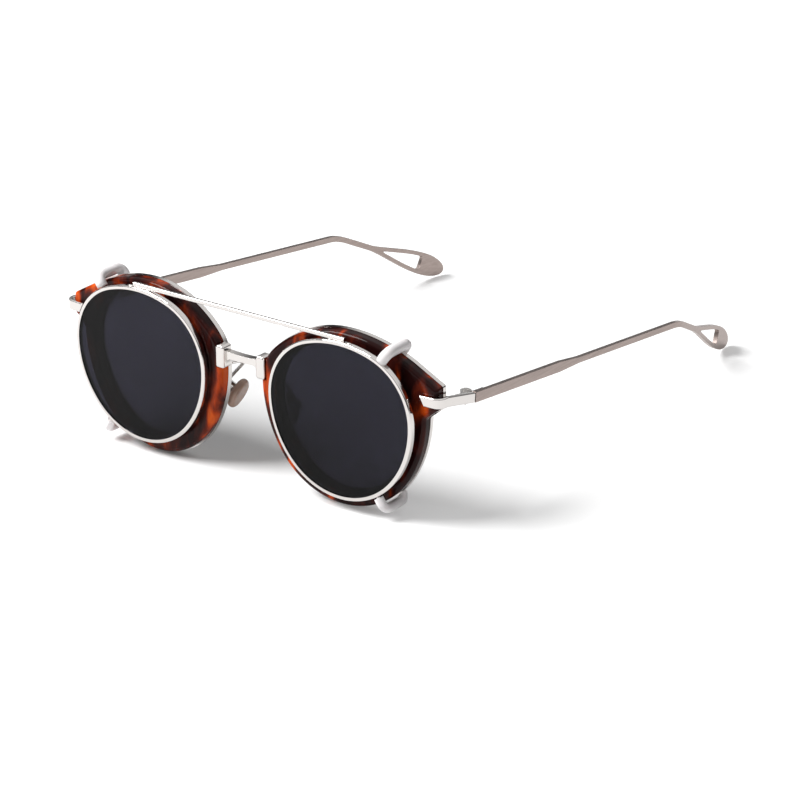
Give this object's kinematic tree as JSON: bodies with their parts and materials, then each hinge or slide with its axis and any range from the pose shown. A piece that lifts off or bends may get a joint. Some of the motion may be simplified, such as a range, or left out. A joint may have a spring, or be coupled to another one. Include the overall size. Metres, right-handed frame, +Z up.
{
  "type": "clip-on sunglasses",
  "caption": "Glasses with rounded tortoise acetate rims over metal rims, folding metal temples with open loop tips, and a dark sun clip held on by sleeved claws.",
  "frame": {"origin": "middle of the footprint, on the surface that the rims and the temple tips stand on", "axes": "+Z up, the lenses face -Y and the temples run back along +Y, +X is the side at the right in the picture's view"},
  "size_m": [0.1274, 0.1596, 0.0488],
  "materials": {
    "acetate": "polished tortoise",
    "polished_metal": "polished silver",
    "hinge_metal": "satin",
    "temple_metal": "satin, slightly pink grey",
    "clear_lens": "clear",
    "dark_lens": "dark grey tint",
    "nose_pad": "translucent",
    "sleeve": "white, slightly translucent"
  },
  "bodies": {
    "front": {"acetate_rim_left": "acetate", "acetate_rim_right": "acetate", "metal_rim_left": "polished_metal", "metal_rim_right": "polished_metal", "base_lens_left": "clear_lens", "base_lens_right": "clear_lens", "bridge": "polished_metal", "endpiece_left": "polished_metal", "endpiece_right": "polished_metal", "hinge_front_left": "hinge_metal", "hinge_front_right": "hinge_metal", "hinge_screw_left": "hinge_metal", "hinge_screw_right": "hinge_metal", "nose_pad_arm_left": "hinge_metal", "nose_pad_arm_right": "hinge_metal", "nose_pad_box_left": "hinge_metal", "nose_pad_box_right": "hinge_metal", "nose_pad_screw_left": "hinge_metal", "nose_pad_screw_right": "hinge_metal"},
    "temple_left": {"temple_left": "temple_metal", "hinge_temple_left": "hinge_metal"},
    "temple_right": {"temple_right": "temple_metal", "hinge_temple_right": "hinge_metal"},
    "nose_pad_left": {"nose_pad_left": "nose_pad"},
    "nose_pad_right": {"nose_pad_right": "nose_pad"},
    "clip": {"clip_rim_left": "polished_metal", "clip_rim_right": "polished_metal", "clip_lens_left": "dark_lens", "clip_lens_right": "dark_lens", "clip_bar": "polished_metal", "claw_wire_upper_left": "hinge_metal", "claw_wire_upper_right": "hinge_metal", "claw_wire_lower_left": "hinge_metal", "claw_wire_lower_right": "hinge_metal", "claw_sleeve_upper_left": "sleeve", "claw_sleeve_upper_right": "sleeve", "claw_sleeve_lower_left": "sleeve", "claw_sleeve_lower_right": "sleeve"}
  },
  "joints": [
    {"name": "temple_right_fold", "type": "hinge", "parent": "front", "child": "temple_right", "pos_m": [0.0605, -0.06006, 0.0328], "axis": [0, 0, 1], "range_deg": [0, 90]},
    {"name": "temple_left_fold", "type": "hinge", "parent": "front", "child": "temple_left", "pos_m": [-0.0605, -0.06006, 0.0328], "axis": [0, 0, -1], "range_deg": [0, 86.5]},
    {"name": "nose_pad_right_rock", "type": "hinge", "parent": "front", "child": "nose_pad_right", "pos_m": [0.01092, -0.06866, 0.02096], "axis": [0.0872, 0.9962, 0], "range_deg": [-10, 10]},
    {"name": "nose_pad_left_rock", "type": "hinge", "parent": "front", "child": "nose_pad_left", "pos_m": [-0.01092, -0.06866, 0.02096], "axis": [-0.0872, 0.9962, 0], "range_deg": [-10, 10]},
    {"name": "clip_off", "type": "slide", "parent": "front", "child": "clip", "axis": [0, -1, 0], "range_m": [0, 0.06]}
  ]
}
